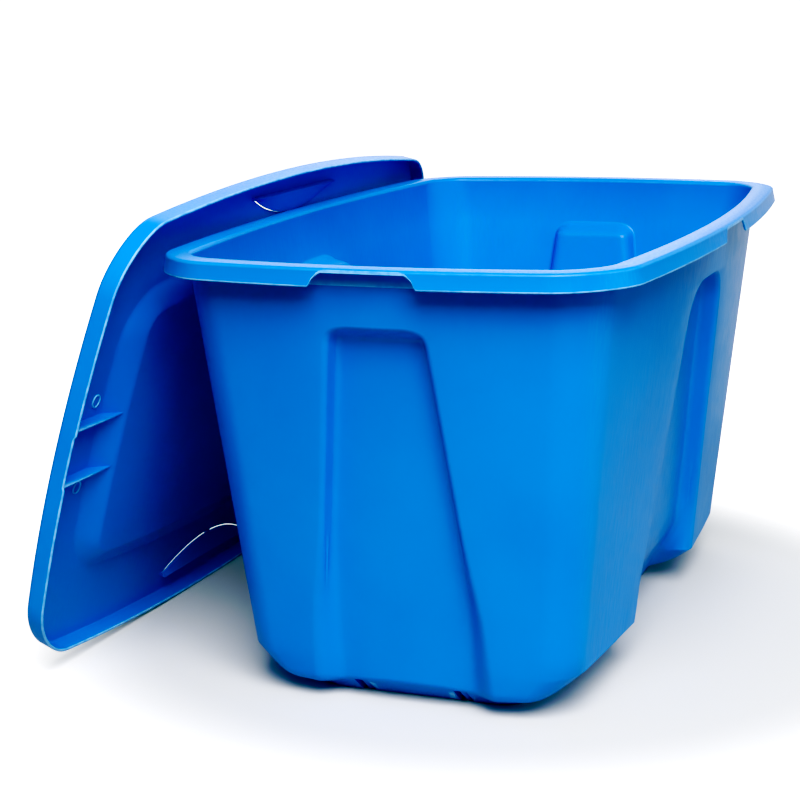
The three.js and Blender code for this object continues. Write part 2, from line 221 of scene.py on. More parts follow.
# Each ramp: two values that go in, and the two that come out for them.
CLOUDS_SHOWN = (0.3, 0.7, 0.0, 1.0)
SHEEN_STREAKS_SHOWN = (0.3, 0.75, 0.3, 1.0)
SHEEN_BY_PLACE = (0.12, 0.17, 0.02, 0.2)  # painted sheen: few streaks on the ends, more on the long sides' outside
STREAKS_ROUGHNESS = (0.3, 0.75, 0.34, 0.46)
HIGHLIGHT_BY_CURVE = (0.22, 0.75, 0.0, 0.7)  # painted highlight, from how sharp an edge is, as 1 / radius in millimetres
HIGHLIGHT_BY_BLOTCH = (0.3, 0.65, 0.45, 1.0)

EDGE_HIGHLIGHT_ROUGHNESS = 0.12
SPECULAR = 0.3
GRAIN_IN_BUMP = 0.25
BUMP_STRENGTH = 0.12
BUMP_DEPTH = 0.0004

# ---- The studio, in metres ---------------------------------------------------------------------

CAMERA_PLACE = (0.6117, -1.8779, 0.6723)
CAMERA_YAW = math.radians(21.31)
CAMERA_PITCH = math.radians(12.46)
CAMERA_ROLL = math.radians(-1.25)
CAMERA_LENS = 84.41  # millimetres
CAMERA_SENSOR = 36.0  # millimetres

LIGHTS = {
    "key": {
        "target": (0, -0.3, 0.3), "azimuth": 31, "elevation": 48,
        "distance": 3.2, "size": 2.1, "power": 282,
    },
    "fill": {
        "target": (0, 0, 0.1), "azimuth": 95, "elevation": 14,
        "distance": 2.6, "size": 1.6, "power": 12,
    },
    "back": {
        "target": (0, 0, 0.2), "azimuth": 205, "elevation": 34,
        "distance": 3.4, "size": 2.4, "power": 50,
    },
}
WORLD_OVERHEAD = (-0.15, 0.9, 0.1, 0.3)  # a ramp from how high a direction points
WORLD_BACK_WAY = (-0.05, 0.99, 0.05)
WORLD_BACK = (0.9, 0.98, 0.0, 1.7)  # a ramp from how close a direction is to WORLD_BACK_WAY

COVE_RADIUS = 40000.0  # millimetres
COVE_SIDES = 48
FLOOR_SHADE = 0.62
FLOOR_GLOW = (0.38, 0.62, 0.0, 1.6)  # a ramp from the distance to the tub's middle
BOUNCE_HALF = 900.0  # millimetres
BOUNCE_BELOW = 1.0  # millimetres
BOUNCE_SHADE = 0.4
PALE_ROUGHNESS = 0.8
PALE_SPECULAR = 0.1

TONE_WHITE = 1.6
TONE_CURVE = ((0.04, 0.005), (0.08, 0.033), (0.15, 0.092), (0.25, 0.216), (0.5, 0.44), (1.0, 0.753))
TONE_OF_ALL = 3  # the curve that holds for all three colours
RED_BLACK = 0.05

# ---- Fineness of the meshes --------------------------------------------------------------------

CORNER_STEPS = 14
LOBE_STEPS = 5
BED_STEPS = 8
FILLET_STEPS = 6
RIDGE_STEPS = 9
STATIONS = BED_STEPS + FILLET_STEPS + 1 + RIDGE_STEPS + 1
LOBE_EDGE_STEPS = 6
LOBE_BEVEL_STEPS = 8
WALL_STEPS = 16
ARCH_STEPS = 18
SMALL_ROUND_STEPS = 3
THROAT_STEPS = 4
ROUND_STEPS = 6
CROWN_STEPS = 6
FREE_EDGE_STEPS = 8
PULL_STEPS = 4
LID_STEPS = 8
PANEL_STEPS = 18
SCOOP_STEPS = 32
RING_SIDES = 40
RIB_SIDES = 16
SHARP_FROM = math.radians(38)
SHARPEST_INSET = 0.3  # limits how far an outline's sharp corners move when it is inset
CURVE_NAME = "edge_curve"
CURVE_SHORTEST = 0.25  # edges outside these lengths don't count where edges for the painted highlight are looked for
CURVE_LONGEST = 5.0
OVERLAP = 1.0  # how far a part that is joined on reaches into its neighbour


def mix(a, b, share):
    return a + (b - a) * share


def clamp01(value):
    return min(1.0, max(0.0, value))


def smooth(value):
    share = clamp01(value)
    return share * share * (3 - 2 * share)


def soft_min(a, b, blend):
    """The smaller of two numbers, rounded where they cross."""
    overlap = max(blend - abs(a - b), 0.0) / blend
    return min(a, b) - overlap * overlap * blend / 4


def quarter_turns(steps):
    return [math.pi / 2 * i / steps for i in range(steps + 1)]


def half_turn(steps):
    return [math.pi * i / steps for i in range(steps + 1)]


def flat(z):
    """A height for ring() that is the same all the way round."""
    return lambda kind, t: z


# ---- Rings -------------------------------------------------------------------------------------


def ring(plan, section, height):
    """One closed ring of points round a plan outline, counter-clockwise from above.

    section(kind, wall, straight) gives the stations (t, a) across a side's middle: t is the
    place along the side and a the distance from the middle plane. height(kind, t) is its height.
    """
    points = []
    for quarter in range(4):
        kind = "side" if quarter % 2 == 0 else "end"
        across, along = (plan.half_x, plan.half_y) if kind == "side" else (plan.half_y, plan.half_x)
        straight = along - plan.corner

        def bow(a, t, kind=kind):
            return plan.bowed(a, t) if kind == "side" else plan.bowed(t, a)[::-1]

        def put(a, t, quarter=quarter, kind=kind):
            x, y = [(a, t), (-t, a), (-a, -t), (t, -a)][quarter]
            points.append((x, y, height(kind, t)))

        for angle in quarter_turns(CORNER_STEPS):
            a = across - plan.corner * (1 - math.sin(angle))
            put(*bow(a, -straight - plan.corner * math.cos(angle)))
        stations = section(kind, lambda t: bow(across, t)[0], straight)
        first, last = stations[0][0], stations[-1][0]
        for i in range(1, LOBE_STEPS):
            put(*bow(across, mix(-straight, first, i / LOBE_STEPS)))
        for t, a in stations:
            put(a, t)
        for i in range(1, LOBE_STEPS):
            put(*bow(across, mix(last, straight, i / LOBE_STEPS)))
    return points


def mirrored(half):
    """Stations on both sides of the middle, from those on one side of it."""
    return [(-t, a) for t, a in reversed(half[1:])] + half


def plain_section(places):
    """A section for ring() that follows the wall, with stations at places(kind)."""
    return lambda kind, wall, straight: mirrored([(t, wall(t)) for t in places(kind)])


# ---- The channels ------------------------------------------------------------------------------


def softened(z):
    """How much rounder a channel's edges are at a height than they are near the arch."""
    return RIDGE_GROWTH * max(0.0, RIDGE_SOFT_BELOW - z)


def channel_half(kind, z, skin):
    """Half the width of a channel at a height."""
    channel = CHANNELS[kind]
    into_corner = clamp01((z - (ARCH_TOP + skin - channel.arch_drop)) / channel.arch_drop)
    rounding = channel.arch_corner * (1 - math.sqrt(1 - into_corner**2))
    flare = channel.flare * (FLARE_FROM - max(z, FLARE_TO)) + FLARE_BELOW * max(FLARE_TO - z, 0.0)
    return channel.half_top + flare - rounding + skin


def channel_places(half, outer, inner):
    """Places along the side from the channel's middle, over its fillet, to the end of its ridge."""
    foot = half - CHANNEL_DRAFT - inner
    bed = [foot * i / BED_STEPS for i in range(BED_STEPS)]
    fillet = [foot + inner * math.sin(a) for a in quarter_turns(FILLET_STEPS)]
    ridge = [half + outer * (1 - math.cos(a)) for a in quarter_turns(RIDGE_STEPS)]
    return bed + fillet + ridge


def foot_plan(z, skin):
    """The foot's outline at a height, a skin's thickness inside its bevel."""

    def half(at_floor, spread):
        return at_floor + spread * z - skin * math.hypot(1, spread)

    return FOOT._replace(
        half_x=half(FOOT.half_x, FOOT_SPREAD["side"]),
        half_y=half(FOOT.half_y, FOOT_SPREAD["end"]),
    )


def channel_section(z, skin, shrink):
    """The stations of the wall at a height. shrink[kind] is what the bevel under the lobes takes off."""

    def section(kind, wall, straight):
        half = channel_half(kind, z, skin)
        if kind == "side":
            half += LOBE_FLANK * shrink[kind]
        outer = RIDGE_RADIUS + softened(z) - skin + RIDGE_MORE
        inner = CHANNEL_FILLET + softened(z) + skin
        share = smooth((ARCH_TOP + skin - z) / ARCH_ROOF)
        plan = foot_plan(z, skin)
        foot = plan.half_x if kind == "side" else plan.half_y
        sunk = CHANNELS[kind].depth * share

        def floor(t):
            return soft_min(wall(t) + shrink[kind] - sunk, foot, FOOT_BLEND)

        depth = max(wall(half) - floor(half), 0.0)
        fit = min(1.0, depth / (outer + inner))
        bed = [0.0] * BED_STEPS
        fillet = [inner * fit * (1 - math.cos(a)) for a in quarter_turns(FILLET_STEPS)]
        ridge = [depth - outer * fit * (1 - math.sin(a)) for a in quarter_turns(RIDGE_STEPS)]
        places = channel_places(half, outer, inner)
        start, reach = places[BED_STEPS], places[-1] - places[BED_STEPS]
        fitting = smooth((fit - FIT_EASED) / (1 - FIT_EASED))
        stations = []
        for t, rise in zip(places, bed + fillet + ridge):
            eased = depth * smooth((t - start) / reach)
            stations.append((t, floor(t) + mix(eased, rise, fitting)))
        return mirrored(stations)

    return section


# ---- The tub's rings ---------------------------------------------------------------------------

SKIRT_EDGE = HEIGHT - SKIRT_DROP


def wall_plan(z):
    """The outline of the wall's outside at a height, without channels."""
    down = (SKIRT_EDGE - z) / SKIRT_EDGE
    return Plan(
        half_x=RIM.half_x - OVERHANG - DRAFT_X * down,
        half_y=RIM.half_y - OVERHANG - DRAFT_Y * down,
        bow_x=RIM.bow_x * mix(1, BOW_KEPT_X, down),
        bow_y=RIM.bow_y * mix(1, BOW_KEPT_Y, down),
        corner=mix(WALL_CORNER_TOP, WALL_CORNER_FLOOR, down),
    )


def lobe_shrink(kind, z, skin):
    """How far the wall turns in under the lobes at a height: a flat bevel mixed with a rounding."""
    up = LOBE_UP[kind] - skin
    gap = 1 - clamp01((z - LOBE_BOTTOM - skin) / up)
    return (LOBE_BEVEL[kind] - skin) * mix(1 - math.sqrt(1 - gap * gap), gap, LOBE_STRAIGHT[kind])


def wall_ring(z, skin):
    """A ring of the wall, a skin's thickness inside its outside."""
    shrink = {kind: lobe_shrink(kind, z, skin) for kind in CHANNELS}
    plan = wall_plan(z).inset(skin)
    turned = shrink["side"] / (LOBE_BEVEL["side"] - skin)
    plan = plan._replace(
        half_x=plan.half_x - shrink["side"],
        half_y=plan.half_y - shrink["end"],
        corner=mix(plan.corner, LOBE_CORNER, turned),
    )
    return ring(plan, channel_section(z, skin, shrink), flat(z))


def wall_rings(skin):
    """The wall from the lobes' bottom, up over their rounding, to the top of the arch."""
    bottom = LOBE_BOTTOM + skin
    edge = bottom + LOBE_UP["end"] - skin
    shoulder = bottom + LOBE_UP["side"] - skin
    arch_drop = CHANNELS["side"].arch_drop
    arch_foot = ARCH_TOP + skin - arch_drop
    heights = [bottom + (edge - bottom) * (1 - math.cos(a)) for a in quarter_turns(LOBE_EDGE_STEPS)]
    heights += [mix(edge, shoulder, (i + 1) / LOBE_BEVEL_STEPS) for i in range(LOBE_BEVEL_STEPS)]
    heights += [mix(shoulder, arch_foot, i / WALL_STEPS) for i in range(1, WALL_STEPS)]
    heights += [arch_foot + arch_drop * math.sin(a) for a in quarter_turns(ARCH_STEPS)]
    return [wall_ring(z, skin) for z in heights]


def foot_ring(plan, z):
    """A ring of the foot, with the channel's stations drawn together to fit its straight sides."""

    def section(kind, wall, straight):
        half = channel_half(kind, LOBE_BOTTOM, 0)
        places = channel_places(half, RIDGE_RADIUS, CHANNEL_FILLET)
        scale = FOOT_STRETCH * straight / places[-1]
        return mirrored([(t * scale, wall(t * scale)) for t in places])

    return ring(plan, section, flat(z))


def foot_rings(skin):
    """The foot from its rounded lower edge up its bevel, a skin's thickness inside it."""
    rings = []
    for a in quarter_turns(SMALL_ROUND_STEPS):
        z = skin + FOOT_EDGE * (1 - math.cos(a))
        rings.append(foot_ring(foot_plan(z, skin).inset(FOOT_EDGE * (1 - math.sin(a))), z))
    return rings + [foot_ring(foot_plan(skin + FOOT_TOP, skin), skin + FOOT_TOP)]


def notch_places(kind):
    """Stations along a side of the rim: even over the hand-hold, close at its edges."""
    edge_steps = STATIONS - BED_STEPS
    bed = [NOTCH_HALF_TOP * i / BED_STEPS for i in range(BED_STEPS)]
    edge = [mix(NOTCH_HALF_TOP, NOTCH_HALF, i / (edge_steps - 1)) for i in range(edge_steps)]
    return bed + edge


def notch_lift(share):
    """Height of the hand-hold's edge as it goes from its foot (0) to its top (1)."""
    return (1 - (1 - clamp01(share)) ** 2) * smooth(share / NOTCH_EASE)


def skirt_edge(kind, t):
    """Height of the skirt's lower edge along a side, with its hand-hold."""
    share = (NOTCH_HALF - abs(t)) / (NOTCH_HALF - NOTCH_HALF_TOP)
    return SKIRT_EDGE + NOTCH_RISE * notch_lift(share)


def rim_ring(distance, height):
    return ring(RIM.inset(distance), plain_section(notch_places), height)


def skirt_ring(distance, lift):
    """A ring of the skirt, a distance inside its face and lift above its lower edge."""

    def height(kind, t):
        return skirt_edge(kind, t) + lift

    top = HEIGHT - RIM_ROUND
    low = rim_ring(distance, height)
    high = rim_ring(distance + SKIRT_LEAN, height)
    points = []
    for p, q in zip(low, high):
        share = (p[2] - SKIRT_EDGE) / (top - SKIRT_EDGE)
        points.append(tuple(mix(a, b, share) for a, b in zip(p, q)))
    return points


def half_round(outer, inner, make):
    """Rings round a free edge, from the inner face under it to the outer face."""
    middle = (outer + inner) / 2
    radius = (inner - outer) / 2
    beside = EDGE_ROUND + EDGE_BESIDE
    turns = half_turn(FREE_EDGE_STEPS)
    rings = [make(middle + radius * math.cos(a), EDGE_ROUND * (1 - math.sin(a))) for a in turns]
    return [make(inner, beside)] + rings + [make(outer, beside)]


def rim_rings():
    """The rolled rim, from the wall's outside under it, over its top, to the wall's inside."""

    def wall(z, skin):
        return ring(wall_plan(z).inset(skin), plain_section(notch_places), flat(z))

    under = HEIGHT - RIM_PLATE
    shoulder = SKIRT_LEAN + RIM_ROUND
    throat = OVERHANG - LEDGE_DEPTH
    inner_edge = RIM.half_x - wall_plan(LEDGE_HEIGHT).half_x + SKIN
    rings = [wall(LEDGE_HEIGHT - LEDGE_DEPTH, 0)]
    for a in quarter_turns(SMALL_ROUND_STEPS):
        rings.append(wall(LEDGE_HEIGHT - LEDGE_DEPTH * math.cos(a), -LEDGE_DEPTH * math.sin(a)))
    rings.append(wall(under - RIM_THROAT - EDGE_BESIDE, -LEDGE_DEPTH))
    for a in quarter_turns(THROAT_STEPS):
        height = flat(under - RIM_THROAT * (1 - math.sin(a)))
        rings.append(rim_ring(throat - RIM_THROAT * (1 - math.cos(a)), height))
    for a in quarter_turns(SMALL_ROUND_STEPS):
        reach = shoulder - (shoulder - SKIRT_LEAN - RIM_PLATE) * math.sin(a)
        rings.append(rim_ring(reach, flat(under - RIM_UNDER * (1 - math.cos(a)))))
    rings += half_round(0.0, RIM_PLATE, skirt_ring)
    rings.append(rim_ring(SKIRT_LEAN, flat(HEIGHT - RIM_ROUND - EDGE_BESIDE)))
    for a in quarter_turns(ROUND_STEPS):
        reach = SKIRT_LEAN + RIM_ROUND * (1 - math.cos(a))
        rings.append(rim_ring(reach, flat(HEIGHT - RIM_ROUND + (RIM_ROUND - RIM_CROWN) * math.sin(a))))
    for i in range(1, CROWN_STEPS):
        share = i / CROWN_STEPS
        crown = RIM_CROWN * math.sin(share * math.pi)
        reach = mix(shoulder, inner_edge - RIM_ROUND, share)
        rings.append(rim_ring(reach, flat(HEIGHT - RIM_CROWN + crown)))
    for a in quarter_turns(ROUND_STEPS):
        reach = inner_edge - RIM_ROUND * (1 - math.sin(a))
        rings.append(rim_ring(reach, flat(HEIGHT - RIM_CROWN - RIM_ROUND * (1 - math.cos(a)))))
    rings.append(wall(HEIGHT - 2 * RIM_ROUND, SKIN))
    return rings


# ---- Meshes ------------------------------------------------------------------------------------


def loft(rings):
    """Vertices and faces of the closed body through a list of rings."""
    count = len(rings[0])
    vertices = [point for points in rings for point in points]
    faces = []
    for r in range(len(rings) - 1):
        for i in range(count):
            j = (i + 1) % count
            faces.append((r * count + i, r * count + j, (r + 1) * count + j, (r + 1) * count + i))
    for first, order in ((0, -1), (len(rings) - 1, 1)):
        points = rings[first]
        centre = len(vertices)
        vertices.append(tuple(sum(p[k] for p in points) / count for k in range(3)))
        for i in range(count):
            j = (i + 1) % count
            edge = (first * count + i, first * count + j)
            faces.append((centre, *edge[::order]))
    return vertices, faces


def mesh_object(name, vertices, faces, place=Matrix.Identity(4)):
    """A mesh object at the origin, from millimetre points moved by place."""
    mesh = bpy.data.meshes.new(name)
    mesh.from_pydata([(place @ Vector(v)) * MM for v in vertices], [], faces)
    mesh.attributes.new(CURVE_NAME, "FLOAT", "POINT")
    mesh.update()
    made = bpy.data.objects.new(name, mesh)
    bpy.context.scene.collection.objects.link(made)
    return made


def cut(piece, tool, operation):
    """Joins a solid on to a piece ("UNION") or takes it out of it ("DIFFERENCE")."""
    change = piece.modifiers.new("cut", "BOOLEAN")
    change.operation = operation
    change.object = tool
    change.solver = "EXACT"
    done = bpy.data.meshes.new_from_object(piece.evaluated_get(bpy.context.evaluated_depsgraph_get()))
    piece.modifiers.clear()
    piece.data = done
    bpy.data.objects.remove(tool)


def mark_curves(piece):
    """Stores how sharply the surface turns outwards at each vertex, as 1 / radius in millimetres."""
    mesh = piece.data
    places = np.empty(len(mesh.vertices) * 3, dtype=np.float32)
    normals = np.empty_like(places)
    ends = np.empty(len(mesh.edges) * 2, dtype=np.int32)
    mesh.vertices.foreach_get("co", places)
    mesh.vertices.foreach_get("normal", normals)
    mesh.edges.foreach_get("vertices", ends)
    places = places.reshape(-1, 3) / MM
    normals = normals.reshape(-1, 3)
    first, last = ends.reshape(-1, 2).T
    step = places[last] - places[first]
    squared = (step * step).sum(1)
    turn = ((normals[last] - normals[first]) * step).sum(1) / np.maximum(squared, CURVE_SHORTEST**2)
    turn[(squared < CURVE_SHORTEST**2) | (squared > CURVE_LONGEST**2)] = 0.0
    curve = np.zeros(len(places), dtype=np.float32)
    np.maximum.at(curve, first, turn)
    np.maximum.at(curve, last, turn)
    mesh.attributes[CURVE_NAME].data.foreach_set("value", curve)


def finish_surface(piece):
    """Smooth shading, apart from sharp edges."""
    piece.data.shade_smooth()
    piece.data.set_sharp_from_angle(angle=SHARP_FROM)


def inset_outline(outline, distance):
    """A convex outline, given counter-clockwise, with each side moved inwards."""
    moved = []
    count = len(outline)
    for i, here in enumerate(outline):
        before = Vector(here) - Vector(outline[i - 1])
        after = Vector(outline[(i + 1) % count]) - Vector(here)
        inwards = [Vector((-v.y, v.x)).normalized() for v in (before, after)]
        bisector = (inwards[0] + inwards[1]).normalized()
        share = max(bisector.dot(inwards[0]), SHARPEST_INSET)
        moved.append(tuple(Vector(here) + bisector * distance / share))
    return moved


def plate(outline, put, width, bevel=0.0):
    """A flat solid with an outline, width thick, whose long edges are rounded off by bevel.

    put(point, w) is the place of a point of the outline at w from the solid's middle.
    """
    half = width / 2
    levels = [(-half, 0.0), (half, 0.0)]
    if bevel:
        turns = quarter_turns(SMALL_ROUND_STEPS)
        rise = [(half - bevel + bevel * math.sin(a), bevel * (1 - math.cos(a))) for a in turns]
        levels = [(-w, d) for w, d in reversed(rise)] + rise
    return loft([[put(p, w) for p in inset_outline(outline, d)] for w, d in levels])


def across_x(at):
    """Puts an outline of (y, z) points upright at a place along X, for plate()."""
    return lambda point, w: (at + w, point[0], point[1])


def across_y(point, w):
    """Puts an outline of (x, z) points upright in the middle of a side, for plate()."""
    return point[0], -w, point[1]


def half_turned(solid):
    """A solid turned half round, to the other side or end."""
    vertices, faces = solid
    return [(-x, -y, z) for x, y, z in vertices], faces


def together(solids):
    """Several closed bodies as one list of vertices and faces."""
    vertices, faces = [], []
    for more_vertices, more_faces in solids:
        start = len(vertices)
        vertices += more_vertices
        faces += [tuple(start + i for i in face) for face in more_faces]
    return vertices, faces


# ---- The tub -----------------------------------------------------------------------------------


def under_foot_end(start, end, bottom, top):
    """An outline of (y, z) points between two depths under the bevel at the foot's far end."""

    def point(depth, z):
        slope = FOOT_SPREAD["end"]
        return FOOT.half_y + slope * z - depth * math.hypot(1, slope), z

    return [point(end, bottom), point(start, bottom), point(start, top), point(end, top)]


def pocket_rib(at):
    """A cone that stands on its point between the sides of a pocket."""
    slope = FOOT_SPREAD["end"]
    rings = []
    for z in (OVERLAP, POCKET_TOP + OVERLAP):
        radius = mix(POCKET_RIB_FOOT, POCKET_RIB_TOP, z / (POCKET_TOP + OVERLAP))
        middle = FOOT.half_y + slope * z - (radius + POCKET_RIB_SUNK) * math.hypot(1, slope)
        turns = [math.tau * i / RIB_SIDES for i in range(RIB_SIDES)]
        rings.append([(at + radius * math.cos(a), middle + radius * math.sin(a), z) for a in turns])
    return loft(rings)


def at_pockets(make):
    """What make(x) gives for both pockets of the far end, and the same at the near end."""
    made = [make(at) for at in (-POCKET_AT, POCKET_AT)]
    return together(made + [half_turned(solid) for solid in made])


def pocket_solids(outline, width):
    return at_pockets(lambda at: plate(outline, across_x(at), width))


def build_tub():
    outside = foot_rings(0) + wall_rings(0)
    inside = foot_rings(SKIN) + wall_rings(SKIN)
    tub = mesh_object("tub_moulding", *loft(outside + rim_rings() + inside[::-1]))
    backing = under_foot_end(SKIN - OVERLAP, SKIN + POCKET_DEPTH, OVERLAP, POCKET_TOP + SKIN)
    hollow = under_foot_end(-2 * OVERLAP, POCKET_DEPTH, -OVERLAP, POCKET_TOP)
    cut(tub, mesh_object("backing", *pocket_solids(backing, POCKET_WIDTH + 2 * SKIN)), "UNION")
    cut(tub, mesh_object("hollow", *pocket_solids(hollow, POCKET_WIDTH)), "DIFFERENCE")
    cut(tub, mesh_object("rib", *at_pockets(pocket_rib)), "UNION")
    mark_curves(tub)
    finish_surface(tub)
    return tub


# ---- The lid -----------------------------------------------------------------------------------


def lid_places(kind):
    """Stations along a side of the lid: close together where a pull's edge changes height."""
    fine = [PULL_HALF + PULL_EASE * (i - 1) / PULL_STEPS for i in range(PULL_STEPS + 2)]
    beyond = LID_REACH[kind] - fine[-1]
    coarse = [fine[-1] + beyond * (i + 1) / LID_STEPS for i in range(LID_STEPS)]
    return LID_MIDDLE + fine + coarse


def panel_slope():
    """(share across, share down) of the slope between the lid's border and its sunk panel."""
    soft = PANEL_SOFT
    shape = []
    for i in range(PANEL_STEPS + 1):
        s = mix(-soft, 1 + soft, i / PANEL_STEPS)
        if s < soft:
            down = (s + soft) ** 2 / (4 * soft)
        elif s > 1 - soft:
            down = 1 - (1 + soft - s) ** 2 / (4 * soft)
        else:
            down = s
        shape.append((s, down))
    return shape


def lid_rings():
    """The lid lying flat, top at z = 0: from its underside, round its skirt, to its top."""

    def at(plan, height):
        return ring(plan, plain_section(lid_places), height)

    def edge(kind, t):
        pulled = smooth((PULL_HALF + PULL_EASE - abs(t)) / PULL_EASE) if kind == "end" else 0.0
        return PULL_RISE * pulled - LID_DROP

    def skirt(reach, lift):
        return at(LID.inset(reach), lambda kind, t: edge(kind, t) + lift)

    slope = panel_slope()
    under = [at(PANEL_TOP.mixed(PANEL_FLOOR, s), flat(-LID_SKIN - PANEL_SUNK * d)) for s, d in slope]
    over = [at(PANEL_TOP.mixed(PANEL_FLOOR, s), flat(-PANEL_SUNK * d)) for s, d in slope]
    inner = LID_ROUND - LID_SKIN
    rings = under[::-1]
    for a in reversed(quarter_turns(THROAT_STEPS)):
        reach = LID_LEAN + LID_ROUND - inner * math.cos(a)
        rings.append(at(LID.inset(reach), flat(-LID_ROUND + inner * math.sin(a))))
    rings += half_round(0.0, LID_SKIN, skirt)
    rings.append(at(LID.inset(LID_LEAN), flat(-LID_ROUND - EDGE_BESIDE)))
    for a in quarter_turns(ROUND_STEPS):
        reach = LID_LEAN + LID_ROUND * (1 - math.cos(a))
        rings.append(at(LID.inset(reach), flat(-LID_ROUND * (1 - math.sin(a)))))
    return rings + over


def lid_place():
    """Where the flat lid goes: stood on its lower long edge and leaned on the tub."""
    stand = Matrix.Translation((*LID_CONTACT, 0)) @ Matrix.Rotation(LID_YAW, 4, "Z")
    tilt = Matrix.Rotation(LEAN - math.pi / 2, 4, "Y")
    return stand @ tilt @ Matrix.Translation((LID.half_x + LID.bow_x, 0, LID_DROP))


def lens_width(y):
    """Width of a scoop's hole at a place along the border."""
    return (SCOOP_OUTER - SCOOP_INNER) * (1 - (y / SCOOP_HALF) ** 2)


def scoop_places():
    return [mix(-SCOOP_HALF, SCOOP_HALF, i / SCOOP_STEPS) for i in range(SCOOP_STEPS + 1)]


def scoop_hole():
    """The lens-shaped hole in the border towards +X."""
    curved = [(SCOOP_OUTER - lens_width(y), y) for y in reversed(scoop_places())]
    return loft([[(x, y, z) for x, y in curved] for z in (-LID_SKIN - OVERLAP, OVERLAP)])


def scoop_dish():
    """The dish under the hole: an outer wall, and a floor that slopes up towards the curved edge."""
    wall_in = SCOOP_OUTER + OVERLAP - SCOOP_SKIN
    rings = []
    for y in scoop_places():
        edge = min(SCOOP_OUTER - lens_width(y) + SCOOP_SLOT, wall_in - OVERLAP / 2)
        section = [
            (SCOOP_OUTER + OVERLAP, -OVERLAP),
            (SCOOP_OUTER + OVERLAP, -SCOOP_DEEP),
            (edge, -SCOOP_LIP - SCOOP_SKIN),
            (edge, -SCOOP_LIP),
            (wall_in, -SCOOP_DEEP + SCOOP_SKIN),
            (wall_in, -OVERLAP),
        ]
        rings.append([(x, y, z) for x, z in section])
    return loft(rings)


def scoop_rib():
    """The rib that holds the dish's free edge to the border."""
    bottom = -SCOOP_LIP - SCOOP_SKIN + OVERLAP / 2
    near = SCOOP_INNER - OVERLAP
    far = SCOOP_INNER + SCOOP_SLOT + OVERLAP
    outline = [(near, bottom), (far, bottom), (far, -OVERLAP), (near, -OVERLAP)]
    return plate(outline, across_y, SCOOP_RIB)


def web(at):
    """An upright web on the lid's underside, from the panel's slope to the skirt at the far end."""
    outline = [
        (WEB_PANEL_END, -WEB_PANEL_DEPTH),
        (WEB_SKIRT_END, -WEB_SKIRT_DEPTH),
        (WEB_SKIRT_END, -OVERLAP),
        (PANEL_TOP.half_y, -OVERLAP),
    ]
    return plate(outline, across_x(at), WEB_THICK, WEB_ROUND)


def raised_ring(at):
    """A low round bead on the lid's underside: a small section swept round a circle."""
    middle = (RING_OUTER + RING_INNER) / 2
    half = (RING_OUTER - RING_INNER) / 2
    section = [(half, OVERLAP), (-half, OVERLAP)]
    turns = half_turn(FREE_EDGE_STEPS)
    section += [(-half * math.cos(a), -RING_HEIGHT + half * (1 - math.sin(a))) for a in turns]
    vertices, faces = [], []
    count = len(section)
    for i in range(RING_SIDES):
        angle = math.tau * i / RING_SIDES
        for reach, z in section:
            radius = middle + reach
            place = (at + radius * math.cos(angle), RING_ALONG + radius * math.sin(angle))
            vertices.append((*place, z - LID_SKIN))
        start, after = i * count, (i + 1) % RING_SIDES * count
        for j in range(count):
            k = (j + 1) % count
            faces.append((start + j, after + j, after + k, start + k))
    return vertices, faces


def both_borders(solid):
    return together([solid, half_turned(solid)])


def clear_scoop_curves(lid, place):
    """Leaves no painted edge highlights in and beside the scoops, where the cuts make long thin faces.
    """
    flatten = place.inverted()
    marks = lid.data.attributes[CURVE_NAME].data
    for vertex in lid.data.vertices:
        at = flatten @ (vertex.co / MM)
        in_border = SCOOP_INNER - SCOOP_CLEAR < abs(at.x) < SCOOP_OUTER + SCOOP_CLEAR
        if in_border and abs(at.y) < SCOOP_HALF + SCOOP_CLEAR:
            marks[vertex.index].value = 0.0


def build_lid():
    place = lid_place()
    lid = mesh_object("lid_moulding", *loft(lid_rings()), place=place)
    webs = together([web(-WEB_AT), web(WEB_AT)])
    rings = together([raised_ring(-RING_AT), raised_ring(RING_AT)])
    cut(lid, mesh_object("webs", *both_borders(webs), place=place), "UNION")
    cut(lid, mesh_object("rings", *rings, place=place), "UNION")
    cut(lid, mesh_object("hole", *both_borders(scoop_hole()), place=place), "DIFFERENCE")
    cut(lid, mesh_object("dish", *both_borders(scoop_dish()), place=place), "UNION")
    cut(lid, mesh_object("rib", *both_borders(scoop_rib()), place=place), "UNION")
    mark_curves(lid)
    clear_scoop_curves(lid, place)
    finish_surface(lid)
    return lid


# ---- Materials ---------------------------------------------------------------------------------


def math_node(tree, operation, first, second):
    """A Math node's output; each input is a socket or a plain number."""
    node = tree.nodes.new("ShaderNodeMath")
    node.operation = operation
    for socket, value in zip(node.inputs, (first, second)):
        if isinstance(value, (int, float)):
            socket.default_value = value
        else:
            tree.links.new(value, socket)
    return node.outputs[0]


def ramp_node(tree, source, *limits):
    """A soft ramp; its limits are two values of the source and the two that come out for them."""
    ramp = tree.nodes.new("ShaderNodeMapRange")
    ramp.interpolation_type = "SMOOTHSTEP"
    for name, value in zip(("From Min", "From Max", "To Min", "To Max"), limits):
        ramp.inputs[name].default_value = value
    tree.links.new(source, ramp.inputs["Value"])
    return ramp.outputs["Result"]


def noise_node(tree, coords, squeeze, scale, detail):
    """Soft noise, squeezed by a factor along X, Y and Z."""
    mapping = tree.nodes.new("ShaderNodeMapping")
    mapping.inputs["Scale"].default_value = squeeze
    tree.links.new(coords, mapping.inputs["Vector"])
    noise = tree.nodes.new("ShaderNodeTexNoise")
    noise.inputs["Scale"].default_value = scale
    noise.inputs["Detail"].default_value = detail
    tree.links.new(mapping.outputs["Vector"], noise.inputs["Vector"])
    return noise.outputs["Fac"]


